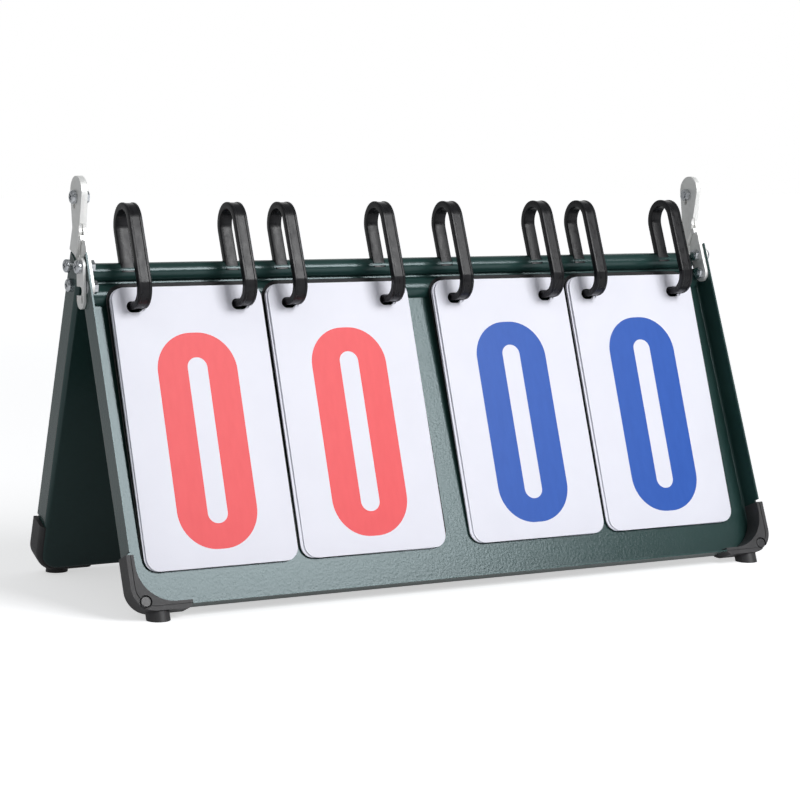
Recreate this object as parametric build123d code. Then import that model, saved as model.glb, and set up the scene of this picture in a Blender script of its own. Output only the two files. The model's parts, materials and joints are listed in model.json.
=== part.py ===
"""Tabletop flip scoreboard: two hinged sheet-metal trays, four stacks of flip cards on rings.

Each tray is drawn in its own frame, with the hinge axis on X, the open face towards -Y and the
slanting length of the tray down -Z. Sizes along the tray are then given by two letters:
s, the distance below the hinge axis, and n, the distance outwards from the plane of the rims.
"""

import os
from math import cos, radians, sin, tan

from build123d import *

# ---- driving dimensions, millimetres and degrees ----

# the two trays
TRAY_DEPTH = 14.4
SHEET = 1.0
BACK_BEND = 2.5
CORNER_RADIUS = 10.5
STAND_ANGLE = 21.57
WALL_TIP = 30.1
WALL_BREAK = 31.6
WALL_BREAK_DEPTH = 6.0
WALL_LENGTH = 183.7
BEAD_HEIGHT = 3.7
BEAD_WIDTH = 12.3
RIM_NOTCH = 1.5

# the rail that carries the rings
RAIL_DROP = 36.4
RAIL_DIAMETER = 9.9
RAIL_WALL = 1.0
RAIL_END_GAP = 5.0
RAIL_SEAT = 0.6
RAIL_LIP = 1.0

# the rings, strips of black plastic
RING_WIDTH = 7.2
RING_THICK = 3.6
RING_HALF_SPAN = 11.9
RING_TOP = 3.7
RING_LEG_END = 38.0
RING_KINK = 50.0
RING_KINK_ANGLE = 16.0
RING_HOOK_RADIUS = 10.6
RING_HOOK_DROP = 60.5
RING_TAIL_RISE = 15.0
RING_TAIL_END = 11.2
RING_RIDGE = 1.3
RING_RIDGE_HEIGHT = 0.3
RING_SLOT_PLAY = 0.1

# the cards and the black sheets behind them
CARD_WIDTH = 83.6
CARD_TOP = 47.3
CARD_LENGTH = 147.3
CARD_CORNER = 7.0
CARD_THICK = 0.4
CARD_MARGIN = 11.7
CARD_PAIR_GAP = 3.9
CARD_CENTRE_GAP = 17.4
CARD_RING_INSET = 12.5
SLOT_WIDTH = 10.2
SLOT_HEIGHT = 6.0
SLOT_LEAD = 0.6
LEAF_THICK = 0.35
LEAF_COUNT = 2
LEAF_GAP = 0.1
FAN_STEP = 1.3
FRONT_CARD_GAP = 0.3
BACKING_OVERHANG = 1.7
BACKING_RISE = 3.3
BACKING_THICK = 0.4
BACKING_CORNER = 10.0
BACKING_PANEL_GAP = 0.05
BACKING_BEAD_GAP = 0.3

# the hinge arms
ARM_THICK = 2.0
ARM_WIDTH = 10.0
ARM_HEAD_RADIUS = 8.3
ARM_HEAD_RISE = 2.7
ARM_EYE_DIAMETER = 3.0
ARM_EYE_DROP = 4.7
ARM_SETBACK = 6.0
ARM_NECK = 15.0
ARM_NICK_DROP = 12.0
ARM_NICK_DEPTH = 1.3
ARM_NICK_RADIUS = 3.0
ARM_BOLT_DROP = 35.5
ARM_BOLT_PITCH = 11.0
JOGGLE_LENGTH = 1.9
ARM_GAP = 0.2
STOP_TAB_WIDTH = 3.0
STOP_TAB_THICK = 2.0
STOP_TAB_GAP = 0.2

# fasteners
SHANK = 3.6
SHANK_PLAY = 0.1
RUNNING_PLAY = 0.05
HEAD_DIAMETER = 7.0
HEAD_HEIGHT = 2.4
HEAD_RECESS = 0.8
NUT_FLATS = 6.0
NUT_HEIGHT = 2.6
THREAD_END = 0.5
SUNK_DEPTH = 1.7
STUD_DIAMETER = 4.0
STUD_REACH = 2.5

# the latch hooks
HOOK_THICK = 1.5
HOOK_WIDTH = 10.0
HOOK_GAP = 0.2
HOOK_NOTCH = 4.6
HOOK_END = 21.6
HOOK_SLOT_LENGTH = 4.5
HOOK_SLOT_WIDTH = 2.2
HOOK_SLOT_FORWARD = 2.4
HOOK_SLOT_DROP = 16.4
SHOULDER_DIAMETER = 4.6
CLOSED_GAP = 0.4

# the moulded corner protectors, with their feet
GUARD_WALL = 2.0
GUARD_HEIGHT = 26.8
GUARD_LENGTH = 29.5
GUARD_CURVE = 19.7
GUARD_GUSSET = 3.2
GUARD_BACK = 0.8
GUARD_BEVEL = 4.0
GUARD_GROOVE = 0.5
GUARD_GROOVE_DEPTH = 0.4
SKIRT_WALL = 1.0
RIVET_DIAMETER = 5.8
RIVET_HEIGHT = 1.2
RIVET_SINK = 0.1
RIVET_POCKET_PLAY = 0.4
RIVET_SHANK = 3.0
RIVET_INSET = 4.9
FOOT_DIAMETER = 12.0
FOOT_INSET = 12.7
FOOT_DEPTH = 7.0
FOOT_LENGTH = 7.9

# ---- sizes that follow ----

# the case is made to hold two pairs of cards side by side between its walls
CASE_WIDTH = CARD_CENTRE_GAP + 2 * (2 * CARD_WIDTH + CARD_PAIR_GAP + CARD_MARGIN + SHEET)
HALF_WIDTH = CASE_WIDTH / 2
INNER_HALF = HALF_WIDTH - SHEET
PANEL_DEPTH = TRAY_DEPTH - SHEET
TRAY_END = WALL_TIP + WALL_LENGTH
ANGLE = radians(STAND_ANGLE)

RAIL_LENGTH = 2 * (INNER_HALF - RAIL_END_GAP)
RAIL_RADIUS = RAIL_DIAMETER / 2
RAIL_DEPTH = PANEL_DEPTH - RAIL_SEAT / 2
PANEL_TOP = RAIL_DROP + RAIL_RADIUS - RAIL_SEAT
BEAD_TOP = RAIL_DROP + RAIL_RADIUS + RAIL_LIP
BEAD_CENTRE = BEAD_TOP + BEAD_WIDTH / 2
BEAD_RADIUS = (BEAD_HEIGHT**2 + (BEAD_WIDTH / 2) ** 2) / (2 * BEAD_HEIGHT)
BEAD_AXIS_DEPTH = PANEL_DEPTH - BEAD_HEIGHT + BEAD_RADIUS

# the pivot lies this far out from the rims, so that the shut trays' rims keep their gap
PIVOT_N = CLOSED_GAP / 2
FOOT_FRONT = FOOT_DEPTH - FOOT_DIAMETER / 2 + PIVOT_N
FOOT_END = TRAY_END + FOOT_LENGTH
PIVOT_HEIGHT = FOOT_END * cos(ANGLE) + FOOT_FRONT * sin(ANGLE)
# a wall's back corner stays clear of the other tray's, where the two slant together
WALL_BACK_DROP = ((TRAY_DEPTH + PIVOT_N) * cos(ANGLE) + ARM_GAP) / sin(ANGLE)

ARM_FACE = INNER_HALF - ARM_THICK
JOGGLE_STEP = ARM_THICK + ARM_GAP
ARM_BACK = ARM_SETBACK + ARM_WIDTH / 2 + PIVOT_N
# the arms lie side by side down to here, where the standing trays part them
JOGGLE_START = ARM_BACK / tan(ANGLE)
# the stop tab's upper edge just clears the rear arm's back edge when the trays stand
TAB_REACH = ARM_SETBACK - ARM_WIDTH / 2 + STOP_TAB_THICK + PIVOT_N
TAB_TOP = ((ARM_BACK + STOP_TAB_GAP) / cos(2 * ANGLE) + TAB_REACH) / tan(2 * ANGLE)
ARM_HOLE_DROPS = (ARM_BOLT_DROP, ARM_BOLT_DROP + ARM_BOLT_PITCH)
ARM_END = ARM_HOLE_DROPS[-1]

HOOK_FACE = HALF_WIDTH + HOOK_GAP
HOOK_HEAD_FACE = HOOK_FACE + HOOK_THICK + HOOK_GAP
LATCH_REACH = 2 * ARM_SETBACK + CLOSED_GAP

GUARD_TOP = TRAY_END - GUARD_HEIGHT
GUARD_REACH = HALF_WIDTH - GUARD_LENGTH

# two pairs of cards, one on each side of the middle
INNER_CARD = (CARD_CENTRE_GAP + CARD_WIDTH) / 2
OUTER_CARD = INNER_CARD + CARD_WIDTH + CARD_PAIR_GAP
CARD_CENTRES = (-OUTER_CARD, -INNER_CARD, INNER_CARD, OUTER_CARD)
CARD_RING_OFFSET = CARD_WIDTH / 2 - CARD_RING_INSET
RING_CENTRES = [c + side * CARD_RING_OFFSET for c in CARD_CENTRES for side in (-1, 1)]


# ---- drawing planes ----

def side_plane(x):
    """Sketches here are drawn in (n, s) and extruded towards +X."""
    return Plane(origin=(x, 0, 0), x_dir=(0, -1, 0), z_dir=(1, 0, 0))


def face_plane(n):
    """Sketches here are drawn in (x, s) and extruded into the tray's depth."""
    return Plane(origin=(0, -n, 0), x_dir=(1, 0, 0), z_dir=(0, 1, 0))


def from_side(x, thickness, sketch):
    """A plate whose outline is drawn in (n, s), from x towards +X."""
    return extrude(side_plane(x) * sketch, amount=thickness)


def from_face(n, thickness, sketch):
    """A plate whose outline is drawn in (x, s), from n towards the back."""
    return extrude(face_plane(n) * sketch, amount=thickness)


def block(x, n, s):
    """A box between pairs of x, n and s."""
    lengths = (x[1] - x[0], n[1] - n[0], s[1] - s[0])
    middle = ((x[0] + x[1]) / 2, -(n[0] + n[1]) / 2, -(s[0] + s[1]) / 2)
    return Pos(*middle) * Box(*lengths)


def bar(x, n, s, radius):
    """A round bar along X, between a pair of x."""
    return from_side(x[0], x[1] - x[0], Pos(n, s) * Circle(radius))


def polygon(*points):
    """A closed face through the points."""
    return make_face(Polyline(*points, close=True).edges())


def stand_front(shape):
    """Tilts a front piece from the tray's frame into the standing object."""
    return Pos(0, 0, PIVOT_HEIGHT) * Rot(-STAND_ANGLE, 0, 0) * Pos(0, PIVOT_N, 0) * shape


def stand_rear(shape):
    """The same for a rear piece, which is a front piece turned half round."""
    return Rot(0, 0, 180) * stand_front(shape)


# ---- trays ----

def pan_block(grow, depth, top):
    """The tray's outer form, grown outwards by grow, with its two bottom corners rounded."""
    half = HALF_WIDTH + grow
    end = TRAY_END + grow
    solid = block((-half, half), (-depth, 0), (top, end))
    corners = solid.edges().filter_by(Axis.Y).group_by(Axis.Z)[0]
    solid = fillet(corners, CORNER_RADIUS + grow)
    back = solid.faces().sort_by(Axis.Y)[-1]
    top_edge = back.edges().sort_by(Axis.Z)[-1]
    bends = [e for e in back.edges() if abs(e.center().Z - top_edge.center().Z) > SHEET]
    return fillet(bends, BACK_BEND + grow)


def wall_horn(x):
    """The flat end of a side wall, sloped so that the two trays clear each other."""
    outline = polygon(
        (0, WALL_TIP),
        (-WALL_BREAK_DEPTH, WALL_BREAK),
        (-TRAY_DEPTH, WALL_BACK_DROP),
        (-TRAY_DEPTH, PANEL_TOP),
        (0, PANEL_TOP),
    )
    return from_side(x, SHEET, outline)


def tray():
    """A pressed pan: a panel, two side walls and a bottom wall, open in front and at the top."""
    shell = pan_block(0, TRAY_DEPTH, PANEL_TOP) - pan_block(-SHEET, PANEL_DEPTH, PANEL_TOP - SHEET)
    shell += wall_horn(-HALF_WIDTH) + wall_horn(INNER_HALF)
    for side in (-1, 1):
        outer = sorted((side * GUARD_REACH, side * HALF_WIDTH))
        shell -= block(outer, (-GUARD_GUSSET, 0), (GUARD_TOP - RIM_NOTCH, TRAY_END))
        for drop in ARM_HOLE_DROPS:
            hole = sorted((side * HALF_WIDTH, side * INNER_HALF))
            shell -= bar(hole, -ARM_SETBACK, drop, SHANK / 2 + SHANK_PLAY)
    return shell


def bead_form(end, width, radius):
    """The bead as a solid: a low arch along X whose two ends are rounded off."""
    arch = bar((-end, end), -BEAD_AXIS_DEPTH, BEAD_CENTRE, radius)
    return arch & from_face(0, TRAY_DEPTH, Pos(0, BEAD_CENTRE) * SlotOverall(2 * end, width))


def front_tray():
    """The front pan: a bead across its panel stiffens the edge that the rail rests on."""
    end = ARM_FACE - ARM_GAP
    shell = tray() + bead_form(end, BEAD_WIDTH, BEAD_RADIUS)
    shell -= bead_form(end - SHEET, BEAD_WIDTH - SHEET, BEAD_RADIUS - SHEET)
    return shell - bar((-INNER_HALF, INNER_HALF), -RAIL_DEPTH, RAIL_DROP, RAIL_RADIUS)


# ---- rail and rings ----

def ring_slot(x):
    """The notch in the rail that a ring's leg stands in."""
    half = RING_WIDTH / 2 + RING_SLOT_PLAY
    back = RING_HALF_SPAN + RING_SLOT_PLAY
    front = RING_HALF_SPAN - RING_THICK - RING_SLOT_PLAY
    return block((x - half, x + half), (-back, -front), (RING_TOP, RING_LEG_END))


def rail_tube():
    """The hollow rail, resting along the panel's top edge."""
    ends = (-RAIL_LENGTH / 2, RAIL_LENGTH / 2)
    tube = bar(ends, -RAIL_DEPTH, RAIL_DROP, RAIL_RADIUS)
    tube -= bar(ends, -RAIL_DEPTH, RAIL_DROP, RAIL_RADIUS - RAIL_WALL)
    for x in RING_CENTRES:
        tube -= ring_slot(x)
    return tube


def hook_centre():
    """Where the lower hook's arc is centred, so that it runs on smoothly from the kink."""
    s = RING_HOOK_DROP - RING_HOOK_RADIUS
    kink = radians(RING_KINK_ANGLE)
    run = (s + RING_HOOK_RADIUS * sin(kink) - RING_KINK) / cos(kink)
    n = RING_HALF_SPAN - run * sin(kink) - RING_HOOK_RADIUS * cos(kink)
    return n, s


def ring_line(inset):
    """The ring's path in (n, s), drawn inset from its outer face, from the leg to the tail."""
    kink = radians(RING_KINK_ANGLE)
    rise = radians(RING_TAIL_RISE)
    half = RING_HALF_SPAN - inset
    top_s = RING_TOP + RING_HALF_SPAN
    hook_n, hook_s = hook_centre()
    radius = RING_HOOK_RADIUS - inset
    kink_point = (half, RING_KINK - inset * tan(kink / 2))
    arch = CenterArc((0, top_s), half, 180, 180)
    hook = CenterArc((hook_n, hook_s), radius, RING_KINK_ANGLE, 90 + RING_TAIL_RISE - RING_KINK_ANGLE)
    tail_n, tail_s = (hook @ 1).X, (hook @ 1).Y
    tail_end = (-RING_TAIL_END, tail_s - (tail_n + RING_TAIL_END) * tan(rise))
    return [
        Line((-half, RING_LEG_END), arch @ 0),
        arch,
        Line(arch @ 1, kink_point),
        Line(kink_point, hook @ 0),
        hook,
        Line(hook @ 1, tail_end),
    ]


def ring_band(outer_inset, inner_inset):
    """The face between two insets of the ring's path."""
    outer = ring_line(outer_inset)
    inner = ring_line(inner_inset)
    ends = [Line(outer[0] @ 0, inner[0] @ 0), Line(outer[-1] @ 1, inner[-1] @ 1)]
    edges = [line.edge() for line in outer + inner + ends]
    return make_face(edges)


def ring(x):
    """One ring: a strip bent over from the rail and hooked back through the cards."""
    strip = from_side(x - RING_WIDTH / 2, RING_WIDTH, ring_band(0, RING_THICK))
    channel = RING_WIDTH - 2 * RING_RIDGE
    return strip - from_side(x - channel / 2, channel, ring_band(0, RING_RIDGE_HEIGHT))


def strip_drop(n):
    """How far down the upper face of a ring's tail lies, at a given n behind the hook."""
    hook_n, hook_s = hook_centre()
    rise = radians(RING_TAIL_RISE)
    radius = RING_HOOK_RADIUS - RING_THICK
    tail_n = hook_n - radius * sin(rise)
    tail_s = hook_s + radius * cos(rise)
    return tail_s - (tail_n - n) * tan(rise)


# ---- cards ----

BACKING_LENGTH = CARD_LENGTH + BACKING_RISE
BACKING_WIDTH = CARD_WIDTH + 2 * BACKING_OVERHANG
BACKING_TOP_N = -(PANEL_DEPTH - BEAD_HEIGHT) + BACKING_BEAD_GAP + BACKING_THICK
BACKING_END_N = -PANEL_DEPTH + BACKING_PANEL_GAP + BACKING_THICK


def leaf_top_n(index):
    """The n of a leaf's upper edge; the stack fans out towards the top."""
    return BACKING_TOP_N + (index + 1) * FAN_STEP


def leaf_end_n(index):
    """The n of a leaf's lower edge, where the stack lies close together."""
    return BACKING_END_N + (index + 1) * (LEAF_THICK + LEAF_GAP)


FRONT_TOP_N = leaf_top_n(LEAF_COUNT)
FRONT_END_N = leaf_end_n(LEAF_COUNT - 1) + FRONT_CARD_GAP + CARD_THICK


def hung_sheet(x, width, top, length, corner, thickness, top_n, end_n):
    """A sheet that hangs on a stack's two rings, leaning back from top_n to end_n."""
    lean = Vector(0, top_n - end_n, -length)
    down = lean.normalized()
    inward = Vector(1, 0, 0).cross(down)
    plane = Plane(origin=(x, -top_n, -top), x_dir=(1, 0, 0), z_dir=(inward.X, inward.Y, inward.Z))
    sheet = Pos(0, lean.length / 2) * RectangleRounded(width, lean.length, corner)
    slot_guess = top_n + (end_n - top_n) * (RING_HOOK_DROP - top) / length
    slot_top = strip_drop(slot_guess - thickness) - SLOT_LEAD - top
    for side in (-1, 1):
        slot = Pos(side * CARD_RING_OFFSET, slot_top + SLOT_HEIGHT / 2)
        sheet -= slot * SlotOverall(SLOT_WIDTH, SLOT_HEIGHT)
    return extrude(plane * sheet, amount=thickness)


def number_card(x):
    """The front card of a stack."""
    return hung_sheet(
        x, CARD_WIDTH, CARD_TOP, CARD_LENGTH, CARD_CORNER, CARD_THICK, FRONT_TOP_N, FRONT_END_N
    )


def card_stack(x):
    """The leaves behind the front card."""
    leaves = []
    for i in range(LEAF_COUNT):
        leaf = hung_sheet(
            x, CARD_WIDTH, CARD_TOP, CARD_LENGTH, CARD_CORNER, LEAF_THICK, leaf_top_n(i), leaf_end_n(i)
        )
        leaves.append(leaf)
    return Compound(leaves)


def backing(x):
    """The black sheet at the back of a stack."""
    return hung_sheet(
        x,
        BACKING_WIDTH,
        CARD_TOP - BACKING_RISE,
        BACKING_LENGTH,
        BACKING_CORNER,
        BACKING_THICK,
        BACKING_TOP_N,
        BACKING_END_N,
    )


# ---- hinge arms ----

def arm_outline(pivot_hole):
    """An arm's stamping in (n, s): round head, waisted neck, straight shank."""
    half = ARM_WIDTH / 2
    shank_end = Pos(-ARM_SETBACK, ARM_END) * Circle(half)
    shank_top = Pos(-ARM_SETBACK, ARM_NECK) * Circle(half)
    head = Pos(PIVOT_N, -ARM_HEAD_RISE) * Circle(ARM_HEAD_RADIUS)
    neck = make_hull(head.edges() + shank_top.edges())
    shank = Pos(-ARM_SETBACK, (ARM_NECK + ARM_END) / 2) * Rectangle(ARM_WIDTH, ARM_END - ARM_NECK)
    outline = neck + shank + shank_end
    nick_n = -ARM_SETBACK - half - ARM_NICK_RADIUS + ARM_NICK_DEPTH
    outline -= Pos(nick_n, ARM_NICK_DROP) * Circle(ARM_NICK_RADIUS)
    outline -= Pos(PIVOT_N, 0) * Circle(pivot_hole / 2)
    outline -= Pos(PIVOT_N, ARM_EYE_DROP) * Circle(ARM_EYE_DIAMETER / 2)
    for drop in ARM_HOLE_DROPS:
        outline -= Pos(-ARM_SETBACK, drop) * Circle(SHANK / 2 + SHANK_PLAY)
    return outline


def front_arm(side):
    """A flat arm inside the front tray's wall; its turned tab stops the rear arm."""
    x = INNER_HALF - ARM_THICK if side > 0 else -INNER_HALF
    arm = from_side(x, ARM_THICK, arm_outline(SHANK + 2 * SHANK_PLAY))
    edge = ARM_WIDTH / 2 - ARM_SETBACK
    tab_x = (x - JOGGLE_STEP, x)
    return arm + block(tab_x, (edge - STOP_TAB_THICK, edge), (TAB_TOP, TAB_TOP + STOP_TAB_WIDTH))


def rear_arm(side):
    """The same stamping, joggled by its own thickness so that its head lies beside the other's."""
    x = INNER_HALF - ARM_THICK if side > 0 else -INNER_HALF
    step = JOGGLE_STEP
    top = -ARM_HEAD_RISE - ARM_HEAD_RADIUS
    end = ARM_END + ARM_WIDTH / 2
    near = JOGGLE_START
    far = JOGGLE_START + JOGGLE_LENGTH
    section = polygon(
        (x + step, top),
        (x + step + ARM_THICK, top),
        (x + step + ARM_THICK, near),
        (x + ARM_THICK, far),
        (x + ARM_THICK, end),
        (x, end),
        (x, far),
        (x + step, near),
    )
    reach = ARM_SETBACK + ARM_WIDTH
    bent = from_face(reach, 2 * reach, section)
    return bent & from_side(x, step + ARM_THICK, arm_outline(SHANK + 2 * RUNNING_PLAY))


# ---- fasteners ----

def outward(side, x, length):
    """A pair of x for a stretch that starts at x and runs outwards on the given side."""
    return tuple(sorted((side * x, side * (x + length))))


def bolt_head(side, x, n, s):
    """A pan head with a cross recess, its flat under face at x."""
    head = bar(outward(side, x, HEAD_HEIGHT), n, s, HEAD_DIAMETER / 2)
    rim = head.faces().sort_by(Axis.X)[-1 if side > 0 else 0].edges()
    head = fillet(rim, HEAD_HEIGHT / 2)
    recess = outward(side, x + HEAD_HEIGHT - HEAD_RECESS, HEAD_RECESS)
    half = HEAD_RECESS / 2
    arm = HEAD_DIAMETER / 4
    head -= block(recess, (n - half, n + half), (s - arm, s + arm))
    head -= block(recess, (n - arm, n + arm), (s - half, s + half))
    return head


def nut(side, x, n, s):
    """A hexagon nut whose outer face lies at x, against an arm."""
    spot = outward(side, x - NUT_HEIGHT, NUT_HEIGHT)
    outline = Pos(n, s) * RegularPolygon(NUT_FLATS / 2, 6, major_radius=False)
    outline -= Pos(n, s) * Circle(SHANK / 2)
    return from_side(spot[0], NUT_HEIGHT, outline)


def shank(side, inner, outer, n, s):
    """A bolt's shank between two distances from the middle of the case."""
    return bar(outward(side, inner, outer - inner), n, s, SHANK / 2)


NUT_END = ARM_FACE - NUT_HEIGHT - THREAD_END


def hook_bolt(side):
    """The shoulder bolt that a latch hook turns on."""
    n, s = -ARM_SETBACK, ARM_BOLT_DROP
    shoulder = bar(outward(side, HALF_WIDTH, HOOK_HEAD_FACE - HALF_WIDTH), n, s, SHOULDER_DIAMETER / 2)
    return shank(side, NUT_END, HALF_WIDTH, n, s) + shoulder + bolt_head(side, HOOK_HEAD_FACE, n, s)


def sunk_cone(side, play):
    """The flush head of the lower bolt, which the hook swings over."""
    n, s = -ARM_SETBACK, ARM_HOLE_DROPS[-1]
    wide = Pos(n, s) * Circle(HEAD_DIAMETER / 2 + play)
    narrow = Pos(n, s) * Circle(SHANK / 2 + play)
    faces = [side_plane(side * HALF_WIDTH) * wide, side_plane(side * (HALF_WIDTH - SUNK_DEPTH)) * narrow]
    return loft(faces)


def sunk_bolt(side):
    """The flush bolt through the wall and the arm."""
    return sunk_cone(side, 0) + shank(side, NUT_END, HALF_WIDTH, -ARM_SETBACK, ARM_HOLE_DROPS[-1])


def panhead_bolt(side, drop):
    """A pan-headed bolt through the wall and the arm."""
    head = bolt_head(side, HALF_WIDTH, -ARM_SETBACK, drop)
    return head + shank(side, NUT_END, HALF_WIDTH, -ARM_SETBACK, drop)


def latch_stud(side):
    """The stud that the hook drops over when the case is shut."""
    n, s = -ARM_SETBACK, ARM_BOLT_DROP
    neck = bar(outward(side, HALF_WIDTH, STUD_REACH), n, s, STUD_DIAMETER / 2)
    return shank(side, NUT_END, HALF_WIDTH, n, s) + neck + bolt_head(side, HALF_WIDTH + STUD_REACH, n, s)


def arm_nuts():
    """The four nuts inside a tray's arms."""
    return Compound([nut(side, ARM_FACE, -ARM_SETBACK, s) for side in (-1, 1) for s in ARM_HOLE_DROPS])


def pivot_ends(side):
    """Where the head and the nut of a pivot bolt lie, outside and inside the two arms."""
    if side < 0:
        return INNER_HALF + JOGGLE_STEP + ARM_GAP, ARM_FACE
    return INNER_HALF, ARM_FACE - JOGGLE_STEP - ARM_GAP


def pivot_bolt(side):
    """The bolt that both arms' heads turn on."""
    head_face, nut_face = pivot_ends(side)
    inner_end = nut_face - NUT_HEIGHT - THREAD_END
    return bolt_head(side, head_face, PIVOT_N, 0) + shank(side, inner_end, head_face, PIVOT_N, 0)


def pivot_nuts():
    """The nuts on the pivot bolts' inner ends."""
    return Compound([nut(side, pivot_ends(side)[1], PIVOT_N, 0) for side in (-1, 1)])


# ---- latch hooks ----

def hook_outline():
    """A flat hook that hangs from its bolt, with a notch for the other tray's stud."""
    half = HOOK_WIDTH / 2
    middle = HOOK_END - half
    plate = Circle(half) + Pos(0, -middle) * Circle(half) + Pos(0, -middle / 2) * Rectangle(HOOK_WIDTH, middle)
    mouth = Rectangle(HOOK_WIDTH, HOOK_NOTCH, align=(Align.MIN, Align.CENTER))
    plate -= Pos(0, -LATCH_REACH) * (Circle(HOOK_NOTCH / 2) + mouth)
    plate -= Circle(SHOULDER_DIAMETER / 2 + RUNNING_PLAY)
    slot = Rot(0, 0, 90) * SlotOverall(HOOK_SLOT_LENGTH, HOOK_SLOT_WIDTH)
    plate -= Pos(-HOOK_SLOT_FORWARD, -HOOK_SLOT_DROP) * slot
    return plate


def hung_hook(side):
    """The hook in the standing object, hanging plumb from the upper bolt of the front tray."""
    pin = stand_front(Pos(0, ARM_SETBACK, -ARM_BOLT_DROP) * Vertex(0, 0, 0)).center()
    x = outward(side, HOOK_FACE, HOOK_THICK)[0]
    plane = Plane(origin=(x, pin.Y, pin.Z), x_dir=(0, 1, 0), z_dir=(1, 0, 0))
    return extrude(plane * hook_outline(), amount=HOOK_THICK)


# ---- corner protectors ----

def corner_region(grow, top, reach):
    """The outer outline of the lower right corner in (x, s), grown outwards, as a filled face."""
    x = HALF_WIDTH + grow
    end = TRAY_END + grow
    radius = CORNER_RADIUS + grow
    face = polygon((0, top), (x, top), (x, end), (0, end))
    corner = face.vertices().sort_by(lambda v: v.X + v.Y)[-1]
    face = fillet(corner, radius)
    return face & Pos(reach + x, end) * Rectangle(2 * x, 4 * end)


def inner_region(grow):
    """The opening inside a protector: straight along both arms, with a hollow curve between."""
    x = INNER_HALF - SKIRT_WALL + grow
    end = TRAY_END - SHEET - SKIRT_WALL + grow
    face = polygon((0, 0), (x, 0), (x, end), (0, end))
    corner = face.vertices().sort_by(lambda v: v.X + v.Y)[-1]
    return fillet(corner, GUARD_CURVE + grow)


def foot():
    """The stub that the tray stands on, cut flat on the floor."""
    x = HALF_WIDTH - FOOT_INSET
    top = TRAY_END + GUARD_WALL / 2
    stub = Cylinder(FOOT_DIAMETER / 2, 2 * FOOT_DIAMETER, align=(Align.CENTER, Align.CENTER, Align.MAX))
    return Pos(x, FOOT_DEPTH, -top) * stub


def right_corner():
    """A protector gripping the rim of the lower right corner, in the tray's frame."""
    region = corner_region(GUARD_WALL, GUARD_TOP, GUARD_REACH)
    depth = TRAY_DEPTH - GUARD_BACK
    jacket = pan_block(GUARD_WALL, TRAY_DEPTH, GUARD_TOP - GUARD_WALL) - pan_block(0, TRAY_DEPTH, 0)
    jacket = jacket & from_face(0, depth, region)
    gusset = from_face(0, GUARD_GUSSET, region - inner_region(0))
    skirt_depth = PANEL_DEPTH - (BACK_BEND - SHEET)
    band = (inner_region(SKIRT_WALL) - inner_region(0)) & corner_region(0, GUARD_TOP, GUARD_REACH)
    skirt = from_face(0, skirt_depth, band)
    guard = jacket + gusset + skirt
    groove = corner_region(0, GUARD_TOP, GUARD_REACH) - corner_region(-GUARD_GROOVE, 0, GUARD_REACH)
    guard -= from_face(0, GUARD_GROOVE_DEPTH, groove)
    guard += foot()
    bevel = polygon(
        (GUARD_REACH, TRAY_END),
        (GUARD_REACH, TRAY_END + 2 * GUARD_WALL),
        (GUARD_REACH + GUARD_BEVEL, TRAY_END + 2 * GUARD_WALL),
    )
    guard -= from_face(0, TRAY_DEPTH, bevel)
    return guard - rivet_hole()


def rivet_spot():
    """The rivet's (x, s), set in from the protector's outer faces."""
    return HALF_WIDTH - RIVET_INSET, TRAY_END - RIVET_INSET + GUARD_WALL


def rivet_shank():
    """The rivet's shank, which fills its hole."""
    spot = Pos(*rivet_spot())
    top = RIVET_SINK + RIVET_HEIGHT
    return from_face(-top, GUARD_GUSSET - SHEET / 2 - top, spot * Circle(RIVET_SHANK / 2))


def rivet_hole():
    """The hole for the rivet, with a pocket that takes its head."""
    spot = Pos(*rivet_spot())
    pocket = Circle(RIVET_DIAMETER / 2 + RIVET_POCKET_PLAY)
    return from_face(0, RIVET_SINK + RIVET_HEIGHT, spot * pocket) + rivet_shank()


def right_rivet():
    """The rivet through a protector's gusset, its head below the rim."""
    spot = Pos(*rivet_spot())
    head = from_face(-RIVET_SINK, RIVET_HEIGHT, spot * Circle(RIVET_DIAMETER / 2))
    head = fillet(head.faces().sort_by(Axis.Y)[0].edges(), RIVET_HEIGHT / 2)
    return head + rivet_shank()


def on_side(side, shape):
    """A right-hand piece, or its mirror image on the left."""
    return shape if side > 0 else mirror(shape, Plane.YZ)


def off_floor(shape):
    """Cuts a standing piece flat at the floor."""
    room = 2 * CASE_WIDTH
    return shape - Pos(0, 0, -room / 2) * Box(room, room, room)


# ---- assembly ----

def front_nodes():
    """Every piece that stays with the front tray, in the tray's frame."""
    guard = right_corner()
    sunk = Compound([sunk_cone(side, SHANK_PLAY) for side in (-1, 1)])
    nodes = {
        "front_tray": front_tray() - sunk,
        "rail_tube": rail_tube(),
        "front_arm_left": front_arm(-1) - sunk,
        "front_arm_right": front_arm(1) - sunk,
        "front_arm_bolts": Compound([f(side) for f in (hook_bolt, sunk_bolt) for side in (-1, 1)]),
        "front_arm_nuts": arm_nuts(),
        "pivot_bolts": Compound([pivot_bolt(-1), pivot_bolt(1)]),
        "pivot_nuts": pivot_nuts(),
        "front_corner_left": on_side(-1, guard),
        "front_corner_right": guard,
        "front_rivets": Compound([on_side(side, right_rivet()) for side in (-1, 1)]),
    }
    for i, x in enumerate(RING_CENTRES, start=1):
        nodes[f"ring_{i}"] = ring(x)
    for i, x in enumerate(CARD_CENTRES, start=1):
        nodes[f"backing_{i}"] = backing(x)
        nodes[f"card_stack_{i}"] = card_stack(x)
        nodes[f"number_card_{i}"] = number_card(x)
    return nodes


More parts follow.
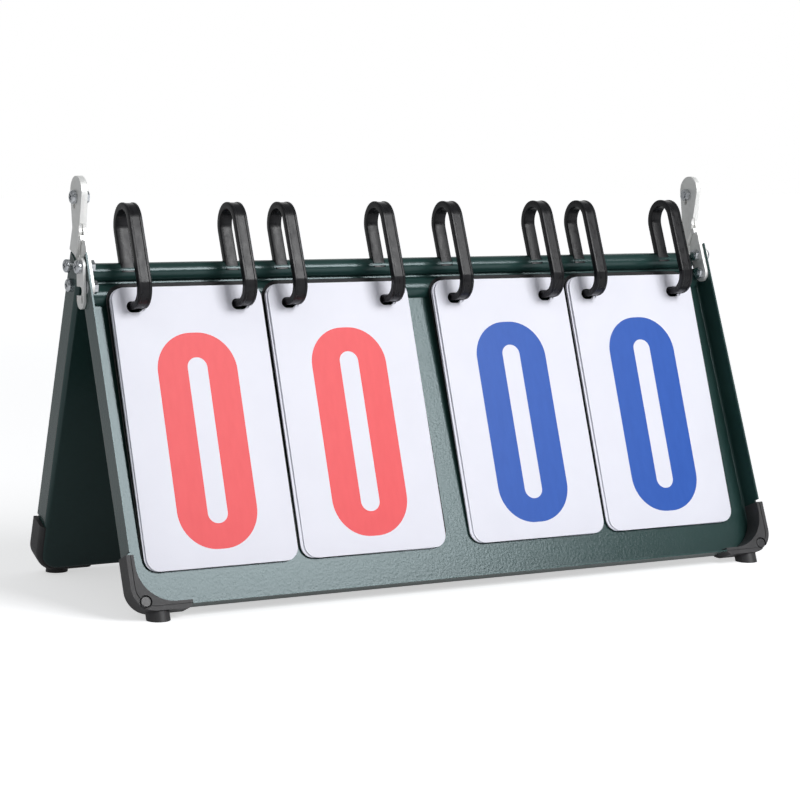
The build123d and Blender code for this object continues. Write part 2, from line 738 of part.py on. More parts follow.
def rear_nodes():
    """Every piece of the rear tray, in the same frame before it is turned round."""
    guard = right_corner()
    return {
        "rear_tray": tray(),
        "rear_arm_left": rear_arm(1),
        "rear_arm_right": rear_arm(-1),
        "rear_arm_bolts": Compound([panhead_bolt(side, ARM_HOLE_DROPS[-1]) for side in (-1, 1)]),
        "rear_arm_nuts": arm_nuts(),
        "latch_studs": Compound([latch_stud(-1), latch_stud(1)]),
        "rear_corner_left": guard,
        "rear_corner_right": on_side(-1, guard),
        "rear_rivets": Compound([on_side(side, right_rivet()) for side in (-1, 1)]),
    }


def main():
    """Writes every node in its standing place."""
    os.makedirs("parts", exist_ok=True)
    placed = {name: stand_front(shape) for name, shape in front_nodes().items()}
    placed.update({name: stand_rear(shape) for name, shape in rear_nodes().items()})
    placed["latch_hook_left"] = hung_hook(-1)
    placed["latch_hook_right"] = hung_hook(1)
    for name, shape in placed.items():
        if "_corner_" in name:
            shape = off_floor(shape)
        export_step(shape, f"parts/{name}.step")


main()
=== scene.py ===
import json
from math import cos, pi, radians, sin

import bmesh
import bpy
from mathutils import Matrix, Vector

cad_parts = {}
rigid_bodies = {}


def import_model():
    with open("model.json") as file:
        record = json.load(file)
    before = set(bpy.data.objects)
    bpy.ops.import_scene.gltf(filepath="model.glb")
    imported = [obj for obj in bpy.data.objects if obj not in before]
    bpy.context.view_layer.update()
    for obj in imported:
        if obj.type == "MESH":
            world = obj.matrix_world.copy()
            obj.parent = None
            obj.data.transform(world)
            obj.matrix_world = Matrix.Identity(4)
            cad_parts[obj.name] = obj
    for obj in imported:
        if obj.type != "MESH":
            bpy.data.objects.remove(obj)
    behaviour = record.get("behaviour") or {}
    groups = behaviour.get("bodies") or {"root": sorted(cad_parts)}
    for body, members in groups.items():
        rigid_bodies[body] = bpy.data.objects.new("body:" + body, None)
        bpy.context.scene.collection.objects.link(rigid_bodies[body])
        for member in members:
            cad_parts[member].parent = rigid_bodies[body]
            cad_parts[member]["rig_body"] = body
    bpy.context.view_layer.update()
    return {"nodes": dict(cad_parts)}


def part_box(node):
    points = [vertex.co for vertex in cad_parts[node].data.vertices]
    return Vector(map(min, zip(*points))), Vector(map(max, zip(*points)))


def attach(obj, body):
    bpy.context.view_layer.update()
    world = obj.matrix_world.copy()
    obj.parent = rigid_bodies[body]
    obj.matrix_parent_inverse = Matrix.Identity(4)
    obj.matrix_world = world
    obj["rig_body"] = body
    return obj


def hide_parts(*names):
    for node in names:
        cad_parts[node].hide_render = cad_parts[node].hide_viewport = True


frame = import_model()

nodes = frame["nodes"]

# ---- the table, the room and the lamps ----
# A scoreboard photographed from in front and a little to its left, on a white sweep.
# One large soft lamp stands to the right of the camera, and is what the painted
# panels mirror; a weaker one and the room fill the shadows.

PICTURE_WIDTH_PX = 800.0
FOCAL_LENGTH_PX = 2216.1
SENSOR_WIDTH_MM = 36.0
CAMERA_PLACE = (-0.5867, -1.0761, 0.2245)
CAMERA_HEADING = radians(-28.395)
CAMERA_DIP = radians(6.099)
CAMERA_ROLL = radians(0.265)
camera_data = bpy.data.cameras.new("photo_camera")
camera_data.sensor_width = SENSOR_WIDTH_MM
camera_data.lens = FOCAL_LENGTH_PX * SENSOR_WIDTH_MM / PICTURE_WIDTH_PX
camera = bpy.data.objects.new("photo_camera", camera_data)
camera.matrix_world = (
    Matrix.Translation(CAMERA_PLACE)
    @ Matrix.Rotation(CAMERA_HEADING, 4, "Z")
    @ Matrix.Rotation(radians(90.0) - CAMERA_DIP, 4, "X")
    @ Matrix.Rotation(CAMERA_ROLL, 4, "Z")
)
bpy.context.scene.collection.objects.link(camera)
bpy.context.scene.camera = camera


LAMP_AIM = Vector((0.0, 0.0, 0.1))


def stand_lamp(name, direction, distance, width, height, strength, colour):
    """A soft box that faces the scoreboard. Its strength is the light that leaves each part of it."""
    light = bpy.data.lights.new(name, "AREA")
    light.shape = "RECTANGLE"
    light.size = width
    light.size_y = height
    light.energy = strength * pi * width * height
    light.color = colour
    lamp = bpy.data.objects.new(name, light)
    azimuth, elevation = radians(direction[0]), radians(direction[1])
    away = Vector((sin(azimuth) * cos(elevation), -cos(azimuth) * cos(elevation), sin(elevation)))
    lamp.location = LAMP_AIM + distance * away
    lamp.rotation_euler = away.to_track_quat("Z", "Y").to_euler()
    bpy.context.scene.collection.objects.link(lamp)


stand_lamp(
    "main_softbox", direction=(22.8, 33.5), distance=1.9, width=0.80, height=0.78,
    strength=12.3, colour=(0.985, 0.99, 1.0),
)
stand_lamp(
    "fill_softbox", direction=(-70.0, 50.0), distance=2.2, width=1.2, height=1.2,
    strength=0.5, colour=(1.0, 1.0, 1.0),
)


def white_to_the_eye(tree, plain, white):
    """Shows white where the camera, or a glossy or clear surface, looks; light comes from plain."""
    path = tree.nodes.new("ShaderNodeLightPath")
    seen = tree.nodes.new("ShaderNodeMath")
    seen.operation = "MAXIMUM"
    tree.links.new(path.outputs["Is Camera Ray"], seen.inputs[0])
    tree.links.new(path.outputs["Is Glossy Ray"], seen.inputs[1])
    also = tree.nodes.new("ShaderNodeMath")
    also.operation = "MAXIMUM"
    tree.links.new(seen.outputs[0], also.inputs[0])
    tree.links.new(path.outputs["Is Transmission Ray"], also.inputs[1])
    mix = tree.nodes.new("ShaderNodeMixShader")
    tree.links.new(also.outputs[0], mix.inputs[0])
    tree.links.new(plain, mix.inputs[1])
    tree.links.new(white, mix.inputs[2])
    return mix.outputs[0]


ROOM_COLOUR = (0.95, 0.98, 1.0, 1.0)
ROOM_LEVEL = 0.26
WHITE = (1.0, 1.0, 1.0, 1.0)
SWEEP_SIDE = (0.476, 0.879, 0.0)
SWEEP_EDGE = (0.6, 0.9)
room = bpy.data.worlds.new("studio_room")
room.use_nodes = True
room_tree = room.node_tree
room_light = room_tree.nodes["Background"]
room_light.inputs["Color"].default_value = ROOM_COLOUR
room_light.inputs["Strength"].default_value = ROOM_LEVEL
room_white = room_tree.nodes.new("ShaderNodeBackground")
room_white.inputs["Color"].default_value = WHITE
room_white.inputs["Strength"].default_value = 1.0
# the sweep hangs behind the scoreboard; surfaces that face the photographer mirror a dimmer room
room_way = room_tree.nodes.new("ShaderNodeTexCoord")
room_facing = room_tree.nodes.new("ShaderNodeVectorMath")
room_facing.operation = "DOT_PRODUCT"
room_facing.inputs[1].default_value = SWEEP_SIDE
room_tree.links.new(room_way.outputs["Generated"], room_facing.inputs[0])
room_behind = room_tree.nodes.new("ShaderNodeMapRange")
room_behind.interpolation_type = "SMOOTHSTEP"
room_behind.inputs["From Min"].default_value = SWEEP_EDGE[0]
room_behind.inputs["From Max"].default_value = SWEEP_EDGE[1]
room_tree.links.new(room_facing.outputs["Value"], room_behind.inputs["Value"])
room_path = room_tree.nodes.new("ShaderNodeLightPath")
room_shown = room_tree.nodes.new("ShaderNodeMath")
room_shown.operation = "MAXIMUM"
room_tree.links.new(room_path.outputs["Is Camera Ray"], room_shown.inputs[0])
room_tree.links.new(room_behind.outputs["Result"], room_shown.inputs[1])
room_sweep = room_tree.nodes.new("ShaderNodeMixShader")
room_tree.links.new(room_shown.outputs[0], room_sweep.inputs[0])
room_tree.links.new(room_light.outputs[0], room_sweep.inputs[1])
room_tree.links.new(room_white.outputs[0], room_sweep.inputs[2])
room_tree.links.new(
    white_to_the_eye(room_tree, room_light.outputs[0], room_sweep.outputs[0]),
    room_tree.nodes["World Output"].inputs["Surface"],
)
bpy.context.scene.world = room
bpy.context.scene.view_settings.view_transform = "Standard"

FLOOR_HALF_WIDTH = 12.0
GLOW_REACH = (0.3, 2.5)
GLOW_LEVEL = (0.56, 0.80)
GLOW_MIRRORED_SHARE = 0.3
sweep_mesh = bpy.data.meshes.new("floor")
sweep = bmesh.new()
bmesh.ops.create_grid(sweep, x_segments=1, y_segments=1, size=FLOOR_HALF_WIDTH)
sweep.to_mesh(sweep_mesh)
sweep.free()
floor = bpy.data.objects.new("floor", sweep_mesh)
bpy.context.scene.collection.objects.link(floor)
floor_white = bpy.data.materials.new("floor_white")
floor_white.use_nodes = True
floor_tree = floor_white.node_tree
floor_paper = floor_tree.nodes["Principled BSDF"]
floor_paper.inputs["Base Color"].default_value = (0.86, 0.86, 0.87, 1.0)
floor_paper.inputs["Roughness"].default_value = 0.9
floor_paper.inputs["Specular IOR Level"].default_value = 0.1
floor_glow = floor_tree.nodes.new("ShaderNodeEmission")
floor_glow.inputs["Color"].default_value = WHITE
# the floor's own glow rises away from the scoreboard, so that it runs into the white behind
floor_place = floor_tree.nodes.new("ShaderNodeTexCoord")
floor_reach = floor_tree.nodes.new("ShaderNodeVectorMath")
floor_reach.operation = "LENGTH"
floor_tree.links.new(floor_place.outputs["Object"], floor_reach.inputs[0])
floor_rise = floor_tree.nodes.new("ShaderNodeMapRange")
floor_rise.inputs["From Min"].default_value = GLOW_REACH[0]
floor_rise.inputs["From Max"].default_value = GLOW_REACH[1]
floor_rise.inputs["To Min"].default_value = GLOW_LEVEL[0]
floor_rise.inputs["To Max"].default_value = GLOW_LEVEL[1]
floor_tree.links.new(floor_reach.outputs["Value"], floor_rise.inputs["Value"])
floor_eye = floor_tree.nodes.new("ShaderNodeLightPath")
floor_share = floor_tree.nodes.new("ShaderNodeMapRange")
floor_share.inputs["To Min"].default_value = GLOW_MIRRORED_SHARE
floor_tree.links.new(floor_eye.outputs["Is Camera Ray"], floor_share.inputs["Value"])
floor_shown = floor_tree.nodes.new("ShaderNodeMath")
floor_shown.operation = "MULTIPLY"
floor_tree.links.new(floor_rise.outputs["Result"], floor_shown.inputs[0])
floor_tree.links.new(floor_share.outputs["Result"], floor_shown.inputs[1])
floor_tree.links.new(floor_shown.outputs[0], floor_glow.inputs["Strength"])
floor_lit = floor_tree.nodes.new("ShaderNodeAddShader")
floor_tree.links.new(floor_paper.outputs[0], floor_lit.inputs[0])
floor_tree.links.new(floor_glow.outputs[0], floor_lit.inputs[1])
floor_tree.links.new(
    white_to_the_eye(floor_tree, floor_paper.outputs[0], floor_lit.outputs[0]),
    floor_tree.nodes["Material Output"].inputs["Surface"],
)
floor.data.materials.append(floor_white)

# ---- the two trays and the rail ----
# Steel sheet a millimetre thick, pressed into shallow pans and sprayed dark green.
# The front pan has a bead across its panel, and a tube of the same green lies along
# that panel's upper edge. The enamel is glossy, with a fine orange peel.


def new_finish(name, colour, roughness, metallic=0.0):
    """A material with its principled shader, ready for its texture."""
    finish = bpy.data.materials.new(name)
    finish.use_nodes = True
    shader = finish.node_tree.nodes["Principled BSDF"]
    shader.inputs["Base Color"].default_value = (*colour, 1.0)
    shader.inputs["Roughness"].default_value = roughness
    shader.inputs["Metallic"].default_value = metallic
    return finish, shader


def speckle(finish, scale, detail=3.0, stretch=(1.0, 1.0, 1.0)):
    """Noise on the object's own coordinates, scale spots to the metre."""
    tree = finish.node_tree
    place = tree.nodes.new("ShaderNodeTexCoord")
    turn = tree.nodes.new("ShaderNodeMapping")
    turn.inputs["Scale"].default_value = stretch
    noise = tree.nodes.new("ShaderNodeTexNoise")
    noise.inputs["Scale"].default_value = scale
    noise.inputs["Detail"].default_value = detail
    tree.links.new(place.outputs["Object"], turn.inputs["Vector"])
    tree.links.new(turn.outputs["Vector"], noise.inputs["Vector"])
    return noise.outputs["Fac"]


# the share of a noise's full range that holds most of its spots
NOISE_RANGE = (0.3, 0.7)


def vary(finish, factor, socket, low, high):
    """Runs a shader's number between two values with a texture."""
    tree = finish.node_tree
    span = tree.nodes.new("ShaderNodeMapRange")
    span.inputs["From Min"].default_value = NOISE_RANGE[0]
    span.inputs["From Max"].default_value = NOISE_RANGE[1]
    span.inputs["To Min"].default_value = low
    span.inputs["To Max"].default_value = high
    tree.links.new(factor, span.inputs["Value"])
    tree.links.new(span.outputs["Result"], socket)


def tint(finish, factor, socket, low, high):
    """Runs a shader's colour between two colours with a texture."""
    tree = finish.node_tree
    ramp = tree.nodes.new("ShaderNodeValToRGB")
    ramp.color_ramp.elements[0].position = NOISE_RANGE[0]
    ramp.color_ramp.elements[0].color = (*low, 1.0)
    ramp.color_ramp.elements[1].position = NOISE_RANGE[1]
    ramp.color_ramp.elements[1].color = (*high, 1.0)
    tree.links.new(factor, ramp.inputs["Fac"])
    tree.links.new(ramp.outputs["Color"], socket)


def raise_grain(finish, shader, factor, depth, under=None):
    """Bumps a surface by a texture, depth metres high."""
    tree = finish.node_tree
    bump = tree.nodes.new("ShaderNodeBump")
    bump.inputs["Strength"].default_value = 1.0
    bump.inputs["Distance"].default_value = depth
    tree.links.new(factor, bump.inputs["Height"])
    if under is not None:
        tree.links.new(under, bump.inputs["Normal"])
    tree.links.new(bump.outputs["Normal"], shader.inputs["Normal"])
    return bump.outputs["Normal"]


PEEL_HEIGHT = 0.00006
FINE_PEEL_HEIGHT = 0.000015
TRAY_EDGE_RADIUS = 0.00022
green_enamel, enamel_shader = new_finish("green_enamel", (0.018, 0.050, 0.045), 0.22)
enamel_shader.inputs["Specular IOR Level"].default_value = 0.46
enamel_shader.inputs["Specular Tint"].default_value = (0.84, 0.96, 1.0, 1.0)
orange_peel = speckle(green_enamel, 700.0, 2.0)
fine_peel = speckle(green_enamel, 1900.0, 2.0)
cloudiness = speckle(green_enamel, 18.0, 2.0)
tint(
    green_enamel, cloudiness, enamel_shader.inputs["Base Color"],
    (0.016, 0.046, 0.041), (0.021, 0.055, 0.050),
)
vary(green_enamel, fine_peel, enamel_shader.inputs["Roughness"], 0.18, 0.25)
fine_relief = raise_grain(green_enamel, enamel_shader, fine_peel, FINE_PEEL_HEIGHT)
raise_grain(green_enamel, enamel_shader, orange_peel, PEEL_HEIGHT, under=fine_relief)


def finish_node(name, finish):
    """Gives a CAD node its material."""
    mesh = nodes[name].data
    mesh.materials.clear()
    mesh.materials.append(finish)


MERGE_DISTANCE = 0.000002
FLAT_WITHIN = radians(0.6)
EDGE_FROM = radians(28.0)
EDGE_STEPS = 2


def soften(name, radius, finish):
    """Stands a copy with rounded edges in for a CAD node, whose own edges are dead sharp."""
    work = bmesh.new()
    work.from_mesh(nodes[name].data)
    bmesh.ops.remove_doubles(work, verts=work.verts, dist=MERGE_DISTANCE)
    bmesh.ops.dissolve_limit(
        work, angle_limit=FLAT_WITHIN, use_dissolve_boundaries=False,
        verts=work.verts, edges=work.edges, delimit={"NORMAL"},
    )
    for face in work.faces:
        face.smooth = True
    mesh = bpy.data.meshes.new(name + "_finished")
    work.to_mesh(mesh)
    work.free()
    piece = bpy.data.objects.new(name + "_finished", mesh)
    bpy.context.scene.collection.objects.link(piece)
    mesh.materials.append(finish)
    rounding = piece.modifiers.new("rounding", "BEVEL")
    rounding.width = radius
    rounding.segments = EDGE_STEPS
    rounding.limit_method = "ANGLE"
    rounding.angle_limit = EDGE_FROM
    rounding.harden_normals = False
    rounding.use_clamp_overlap = True
    rounding.miter_outer = "MITER_ARC"
    flatness = piece.modifiers.new("flatness", "WEIGHTED_NORMAL")
    flatness.mode = "FACE_AREA"
    flatness.weight = 100
    flatness.keep_sharp = True
    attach(piece, nodes[name]["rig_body"])
    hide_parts(name)


for tray in ("front_tray", "rear_tray"):
    soften(tray, TRAY_EDGE_RADIUS, green_enamel)
finish_node("rail_tube", green_enamel)

# ---- the hinge arms, the hooks and their bolts ----
# Stampings of steel strip, two arms and a hook to each side, held flat to the trays'
# walls by bolts and nuts. All are zinc plated, a little uneven, as barrel plating is.

ARM_EDGE_RADIUS = 0.00018
HOOK_EDGE_RADIUS = 0.00015
PLATE_GRAIN_HEIGHT = 0.00001
zinc_plate, zinc_shader = new_finish("zinc_plate", (0.94, 0.94, 0.92), 0.5, 0.45)
plate_spangle = speckle(zinc_plate, 260.0, 4.0)
plate_grain = speckle(zinc_plate, 1500.0, 2.0, (1.0, 1.0, 0.2))
tint(
    zinc_plate, plate_spangle, zinc_shader.inputs["Base Color"],
    (0.88, 0.88, 0.86), (0.96, 0.96, 0.94),
)
vary(zinc_plate, plate_grain, zinc_shader.inputs["Roughness"], 0.46, 0.58)
raise_grain(zinc_plate, zinc_shader, plate_grain, PLATE_GRAIN_HEIGHT)
for arm in ("front_arm_left", "front_arm_right", "rear_arm_left", "rear_arm_right"):
    soften(arm, ARM_EDGE_RADIUS, zinc_plate)
for hook in ("latch_hook_left", "latch_hook_right"):
    soften(hook, HOOK_EDGE_RADIUS, zinc_plate)

bright_bolt, bolt_shader = new_finish("bright_bolt", (0.62, 0.64, 0.66), 0.22, 1.0)
bolt_wear = speckle(bright_bolt, 900.0, 3.0)
tint(
    bright_bolt, bolt_wear, bolt_shader.inputs["Base Color"],
    (0.44, 0.46, 0.49), (0.68, 0.70, 0.72),
)
vary(bright_bolt, bolt_wear, bolt_shader.inputs["Roughness"], 0.16, 0.32)
raise_grain(bright_bolt, bolt_shader, bolt_wear, PLATE_GRAIN_HEIGHT)
for fastener in (
    "front_arm_bolts", "front_arm_nuts", "pivot_bolts", "pivot_nuts",
    "rear_arm_bolts", "rear_arm_nuts", "latch_studs",
):
    finish_node(fastener, bright_bolt)

# ---- the eight rings ----
# Strips of black plastic with raised rims and a shallow channel between them. Each stands
# in the rail, arches over forwards and ends in a hook, from which half of a stack hangs.

RING_GRAIN_HEIGHT = 0.000018
ring_plastic, ring_shader = new_finish("ring_plastic", (0.010, 0.010, 0.011), 0.34)
ring_shader.inputs["Specular IOR Level"].default_value = 0.24
ring_flow = speckle(ring_plastic, 420.0, 3.0, (1.0, 1.0, 0.35))
ring_grain = speckle(ring_plastic, 2600.0, 2.0)
tint(
    ring_plastic, ring_flow, ring_shader.inputs["Base Color"],
    (0.008, 0.008, 0.009), (0.013, 0.013, 0.015),
)
vary(ring_plastic, ring_flow, ring_shader.inputs["Roughness"], 0.24, 0.36)
raise_grain(ring_plastic, ring_shader, ring_grain, RING_GRAIN_HEIGHT)

PIVOT_HEIGHT = 0.206615
PIVOT_OUT = 0.0002
LEAN = radians(21.57)
RING_WIDTH = 0.0072
RING_THICKNESS = 0.0036
RING_SPAN = 0.0119
ARCH_DROP = 0.0156
LEG_END_DROP = 0.038
KINK_DROP = 0.04938
KINK_TURN = radians(16.0)
KINK_RADIUS = 0.0044
KINK_RUN = 0.00232
HOOK_OUT = 0.0009
HOOK_DROP = 0.0499
HOOK_TURN = radians(89.0)
TAIL_RUN = 0.00969
RIM_WIDTH = 0.0013
CHANNEL_EDGE = 1.25 * RIM_WIDTH
CHANNEL_DEPTH = 0.0003
SECTION_CORNER = 0.00045
SHARP_FROM = radians(30.0)
ARCH_STEPS = 36
KINK_STEPS = 4
HOOK_STEPS = 20
standing = (
    Matrix.Translation((0.0, 0.0, PIVOT_HEIGHT))
    @ Matrix.Rotation(-LEAN, 4, "X")
    @ Matrix.Translation((0.0, PIVOT_OUT, 0.0))
)


def bend_ring(number):
    """One ring: the strip's section carried along its path, from the leg to the tail."""
    low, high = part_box(f"ring_{number}")
    middle = (low.x + high.x) / 2
    half = RING_WIDTH / 2
    work = bmesh.new()
    corners = [
        work.verts.new((x, RING_SPAN - depth, -LEG_END_DROP))
        for x, depth in (
            (-half, 0.0), (RIM_WIDTH - half, 0.0), (CHANNEL_EDGE - half, CHANNEL_DEPTH),
            (half - CHANNEL_EDGE, CHANNEL_DEPTH), (half - RIM_WIDTH, 0.0), (half, 0.0),
            (half, RING_THICKNESS), (-half, RING_THICKNESS),
        )
    ]
    work.faces.new(corners)
    outer = [corners[0], corners[5], corners[6], corners[7]]
    bmesh.ops.bevel(
        work, geom=outer, offset=SECTION_CORNER, offset_type="OFFSET", segments=4,
        profile=0.5, affect="VERTICES", material=-1,
    )
    bmesh.ops.reverse_faces(work, faces=work.faces[:])
    rim = work.edges[:]

    def run_on(rim, travel):
        """A straight stretch."""
        made = bmesh.ops.extrude_edge_only(work, edges=rim)["geom"]
        bmesh.ops.translate(
            work, vec=travel, verts=[item for item in made if isinstance(item, bmesh.types.BMVert)]
        )
        return [item for item in made if isinstance(item, bmesh.types.BMEdge)
                and len(item.link_faces) == 1]

    def turn(rim, out, drop, angle, steps):
        """A bend about a line across the strip."""
        made = bmesh.ops.spin(
            work, geom=rim, cent=(0.0, -out, -drop), axis=(1.0, 0.0, 0.0), angle=angle, steps=steps
        )["geom_last"]
        return [item for item in made if isinstance(item, bmesh.types.BMEdge)]

    rim = run_on(rim, (0.0, 0.0, LEG_END_DROP - ARCH_DROP))
    rim = turn(rim, 0.0, ARCH_DROP, pi, ARCH_STEPS)
    rim = run_on(rim, (0.0, 0.0, ARCH_DROP - KINK_DROP))
    rim = turn(rim, RING_SPAN - KINK_RADIUS, KINK_DROP, KINK_TURN, KINK_STEPS)
    rim = run_on(rim, (0.0, KINK_RUN * sin(KINK_TURN), -KINK_RUN * cos(KINK_TURN)))
    rim = turn(rim, HOOK_OUT, HOOK_DROP, HOOK_TURN, HOOK_STEPS)
    turned = KINK_TURN + HOOK_TURN
    rim = run_on(rim, (0.0, TAIL_RUN * sin(turned), -TAIL_RUN * cos(turned)))
    bmesh.ops.contextual_create(work, geom=rim)
    bmesh.ops.recalc_face_normals(work, faces=work.faces)
    for face in work.faces:
        face.smooth = True
    for edge in work.edges:
        edge.smooth = edge.calc_face_angle(0.0) < SHARP_FROM
    place = standing @ Matrix.Translation((middle, 0.0, 0.0))
    bmesh.ops.transform(work, matrix=place, verts=work.verts)
    mesh = bpy.data.meshes.new(f"ring_{number}_strip")
    work.to_mesh(mesh)
    work.free()
    mesh.materials.append(ring_plastic)
    strip = bpy.data.objects.new(f"ring_{number}_strip", mesh)
    bpy.context.scene.collection.objects.link(strip)
    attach(strip, nodes[f"ring_{number}"]["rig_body"])
    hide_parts(f"ring_{number}")


for number in range(1, 9):
    bend_ring(number)

# ---- the cards ----
# Sheets of white plastic with a large numeral printed on each; the front one stands
# for the score, more leaves hang behind it, and a black sheet closes each stack.

CARD_TOOTH_HEIGHT = 0.000008
SHEET_GRAIN_HEIGHT = 0.00002
card_white, card_shader = new_finish("card_white", (0.86, 0.86, 0.94), 0.42)
card_shader.inputs["Specular IOR Level"].default_value = 0.3
card_tooth = speckle(card_white, 2200.0, 2.0)
card_cloud = speckle(card_white, 40.0, 3.0)
tint(
    card_white, card_cloud, card_shader.inputs["Base Color"],
    (0.845, 0.845, 0.925), (0.87, 0.87, 0.95),
)
vary(card_white, card_tooth, card_shader.inputs["Roughness"], 0.38, 0.48)
raise_grain(card_white, card_shader, card_tooth, CARD_TOOTH_HEIGHT)

black_sheet, sheet_shader = new_finish("black_sheet", (0.009, 0.009, 0.010), 0.5)
sheet_shader.inputs["Specular IOR Level"].default_value = 0.25
sheet_grain = speckle(black_sheet, 1800.0, 3.0)
tint(
    black_sheet, sheet_grain, sheet_shader.inputs["Base Color"],
    (0.007, 0.007, 0.008), (0.012, 0.012, 0.013),
)
vary(black_sheet, sheet_grain, sheet_shader.inputs["Roughness"], 0.48, 0.62)
raise_grain(black_sheet, sheet_shader, sheet_grain, SHEET_GRAIN_HEIGHT)

for number in range(1, 5):
    finish_node(f"number_card_{number}", card_white)
    finish_node(f"backing_{number}", black_sheet)

# the leaves behind the front card hang a little askew: each stack's shift in metres, its turn in degrees
STACK_SWING = {1: (0.0006, 0.15), 2: (0.0009, 0.40), 3: (0.0010, 0.36), 4: (0.0010, 0.30)}
for number, (shift, swing) in STACK_SWING.items():
    low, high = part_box(f"card_stack_{number}")
    work = bmesh.new()
    work.from_mesh(nodes[f"card_stack_{number}"].data)
    bmesh.ops.remove_doubles(work, verts=work.verts, dist=MERGE_DISTANCE)
    upper = Vector(((low.x + high.x) / 2, low.y, high.z))
    hang = (
        Matrix.Translation(upper + Vector((-shift, 0.0, 0.0)))
        @ Matrix.Rotation(radians(swing), 4, "Y")
        @ Matrix.Translation(-upper)
    )
    bmesh.ops.transform(work, matrix=hang, verts=work.verts)
    mesh = bpy.data.meshes.new(f"leaves_{number}")
    work.to_mesh(mesh)
    work.free()
    mesh.materials.append(card_white)
    leaves = bpy.data.objects.new(f"leaves_{number}", mesh)
    bpy.context.scene.collection.objects.link(leaves)
    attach(leaves, nodes[f"card_stack_{number}"]["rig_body"])
    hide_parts(f"card_stack_{number}")

# ---- the numerals ----
# Screen-printed ink, red on the left-hand pair and blue on the right. Each nought is
# one closed stroke with round ends, a few hundredths of a millimetre thick.

NUMERAL_OUTSIDE = (0.0443, 0.1135, 0.0205)
NUMERAL_INSIDE = (0.0110, 0.0871, 0.0054)
NUMERAL_BELOW_MIDDLE = 0.0081
INK_THICKNESS = 0.00003
INK_CLEARANCE = 0.000002


def card_face(card):
    """Where a card's printed face lies: its middle, its upward direction and its outward one."""
    mesh = nodes[card].data
    front = max(mesh.polygons, key=lambda face: -face.normal.y * face.area)
    out = front.normal.normalized()
    up = (Vector((0.0, 0.0, 1.0)) - out * out.z).normalized()
    level = max(vertex.co.dot(out) for vertex in mesh.vertices)
    low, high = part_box(card)
    middle = (low + high) / 2
    return middle + out * (level - middle.dot(out)), up, out


def print_nought(number, ink, body):
    """The nought on one card."""
    middle, up, out = card_face(f"number_card_{number}")
    work = bmesh.new()
    for width, height, corner in (NUMERAL_OUTSIDE, NUMERAL_INSIDE):
        line = bmesh.ops.create_grid(work, x_segments=1, y_segments=1, size=0.5)["verts"]
        bmesh.ops.scale(work, vec=(width, height, 1.0), verts=line)
        bmesh.ops.bevel(
            work, geom=line, offset=corner, offset_type="OFFSET",
            segments=16, profile=0.5, affect="VERTICES", material=-1,
        )
    bmesh.ops.delete(work, geom=work.faces[:], context="FACES_ONLY")
    bmesh.ops.bridge_loops(work, edges=work.edges[:])
    place = Matrix.Identity(4)
    place.col[0][:3] = (1.0, 0.0, 0.0)
    place.col[1][:3] = up
    place.col[2][:3] = out
    place.col[3][:3] = middle - up * NUMERAL_BELOW_MIDDLE + out * INK_CLEARANCE
    rising = bmesh.ops.extrude_face_region(work, geom=work.faces[:])
    top = [piece for piece in rising["geom"] if isinstance(piece, bmesh.types.BMVert)]
    bmesh.ops.translate(work, vec=(0.0, 0.0, INK_THICKNESS), verts=top)
    bmesh.ops.recalc_face_normals(work, faces=work.faces)
    bmesh.ops.transform(work, matrix=place, verts=work.verts)
    mesh = bpy.data.meshes.new(f"numeral_{number}")
    work.to_mesh(mesh)
    work.free()
    mesh.materials.append(ink)
    numeral = bpy.data.objects.new(f"numeral_{number}", mesh)
    bpy.context.scene.collection.objects.link(numeral)
    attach(numeral, body)


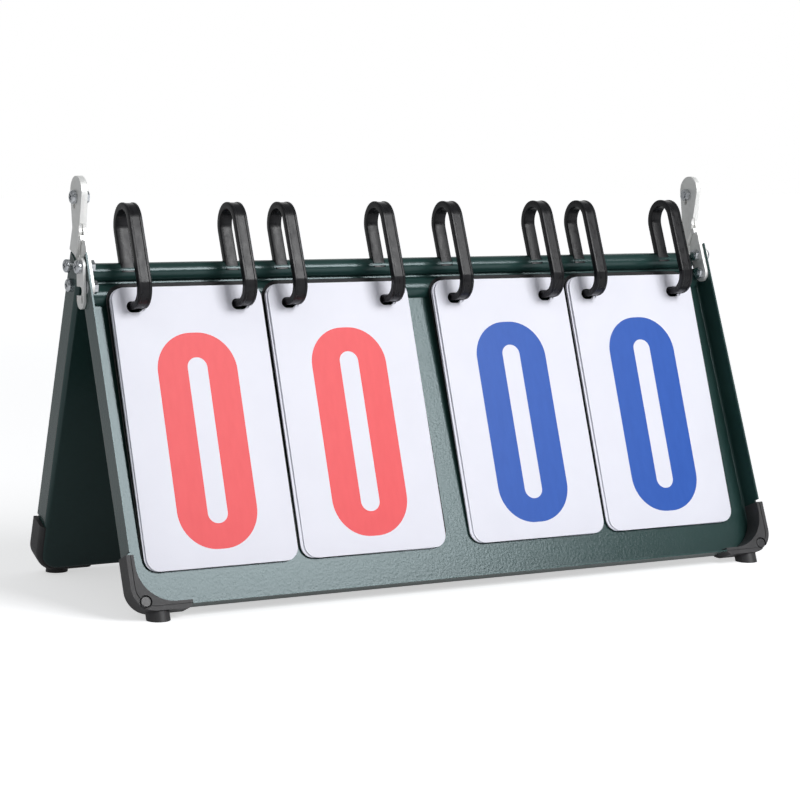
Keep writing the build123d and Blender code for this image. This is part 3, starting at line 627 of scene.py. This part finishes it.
def mix_ink(name, thin, thick):
    """A screen ink, a little uneven where the squeegee passed."""
    ink, shader = new_finish(name, thick, 0.4)
    shader.inputs["Specular IOR Level"].default_value = 0.28
    lay = speckle(ink, 300.0, 4.0, (1.0, 0.3, 0.3))
    tooth = speckle(ink, 2200.0, 2.0)
    tint(ink, lay, shader.inputs["Base Color"], thin, thick)
    vary(ink, tooth, shader.inputs["Roughness"], 0.36, 0.46)
    raise_grain(ink, shader, tooth, CARD_TOOTH_HEIGHT)
    return ink


red_ink = mix_ink("red_ink", (0.95, 0.095, 0.105), (0.92, 0.085, 0.095))
blue_ink = mix_ink("blue_ink", (0.016, 0.105, 0.50), (0.012, 0.095, 0.47))
for number, ink in ((1, red_ink), (2, red_ink), (3, blue_ink), (4, blue_ink)):
    print_nought(number, ink, nodes[f"number_card_{number}"]["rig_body"])

# ---- the corner protectors ----
# Charcoal plastic mouldings pushed over the trays' lower corners and held by a rivet
# each; a stub foot stands out below, cut flat where it meets the table.

CORNER_EDGE_RADIUS = 0.0003
CORNER_GRAIN_HEIGHT = 0.00003
RIVET_GRAIN_HEIGHT = 0.00001
corner_plastic, corner_shader = new_finish("corner_plastic", (0.040, 0.039, 0.041), 0.45)
corner_shader.inputs["Specular IOR Level"].default_value = 0.4
corner_grain = speckle(corner_plastic, 2400.0, 3.0)
corner_cloud = speckle(corner_plastic, 160.0, 3.0)
tint(
    corner_plastic, corner_cloud, corner_shader.inputs["Base Color"],
    (0.030, 0.030, 0.031), (0.042, 0.041, 0.043),
)
vary(corner_plastic, corner_grain, corner_shader.inputs["Roughness"], 0.42, 0.58)
raise_grain(corner_plastic, corner_shader, corner_grain, CORNER_GRAIN_HEIGHT)
for corner in ("front_corner_left", "front_corner_right", "rear_corner_left", "rear_corner_right"):
    soften(corner, CORNER_EDGE_RADIUS, corner_plastic)

rivet_black, rivet_shader = new_finish("rivet_black", (0.02, 0.02, 0.021), 0.35)
rivet_grain = speckle(rivet_black, 1500.0, 2.0)
tint(
    rivet_black, rivet_grain, rivet_shader.inputs["Base Color"],
    (0.015, 0.015, 0.016), (0.028, 0.028, 0.03),
)
vary(rivet_black, rivet_grain, rivet_shader.inputs["Roughness"], 0.3, 0.42)
raise_grain(rivet_black, rivet_shader, rivet_grain, RIVET_GRAIN_HEIGHT)
for rivets in ("front_rivets", "rear_rivets"):
    finish_node(rivets, rivet_black)
